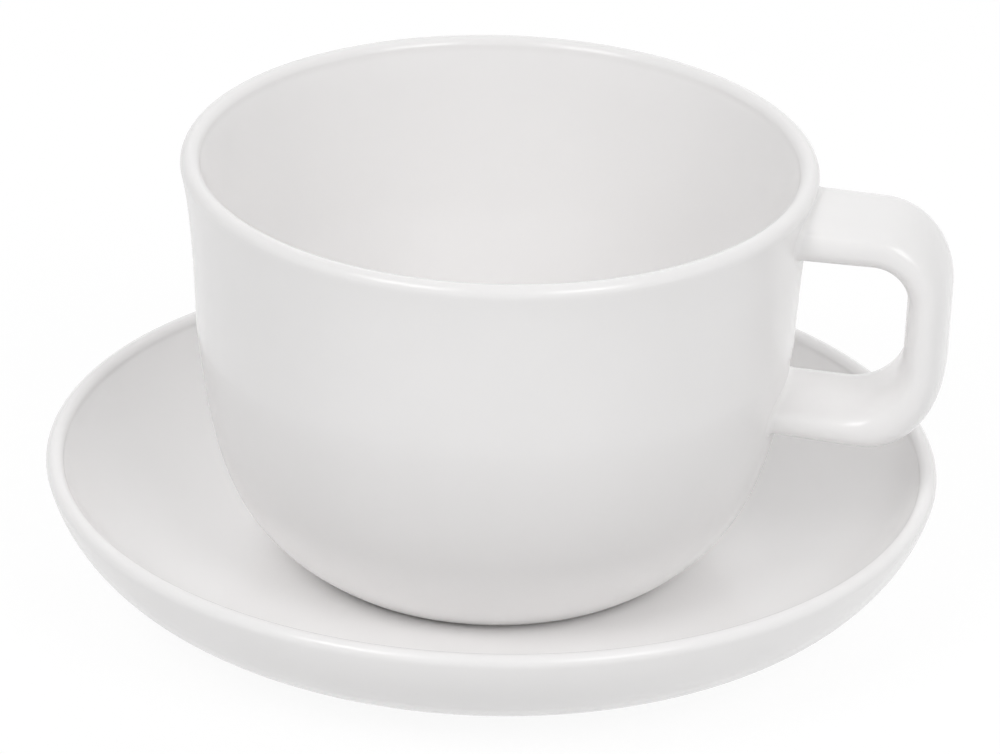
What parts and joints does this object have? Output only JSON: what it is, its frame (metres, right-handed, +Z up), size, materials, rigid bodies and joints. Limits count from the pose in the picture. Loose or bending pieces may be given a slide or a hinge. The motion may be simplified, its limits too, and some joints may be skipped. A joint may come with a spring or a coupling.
{
  "type": "espresso cup",
  "caption": "Low, round white porcelain espresso cup with a square strap handle, standing loose on its matching deep-walled saucer.",
  "frame": {"origin": "on the table under the middle of the saucer's foot ring, which is also the cup's axis", "axes": "+Z up along the common axis of cup and saucer, +X towards the handle"},
  "size_m": [0.1, 0.0994, 0.0513],
  "materials": {
    "cup_glaze": "gloss",
    "saucer_glaze": "gloss"
  },
  "bodies": {
    "saucer": {"saucer": "saucer_glaze"},
    "cup": {"cup_body": "cup_glaze", "cup_handle": "cup_glaze"}
  },
  "joints": [
    {"name": "cup_lift", "type": "slide", "parent": "saucer", "child": "cup", "axis": [0, 0, 1], "range_m": [0, 0.06]}
  ]
}
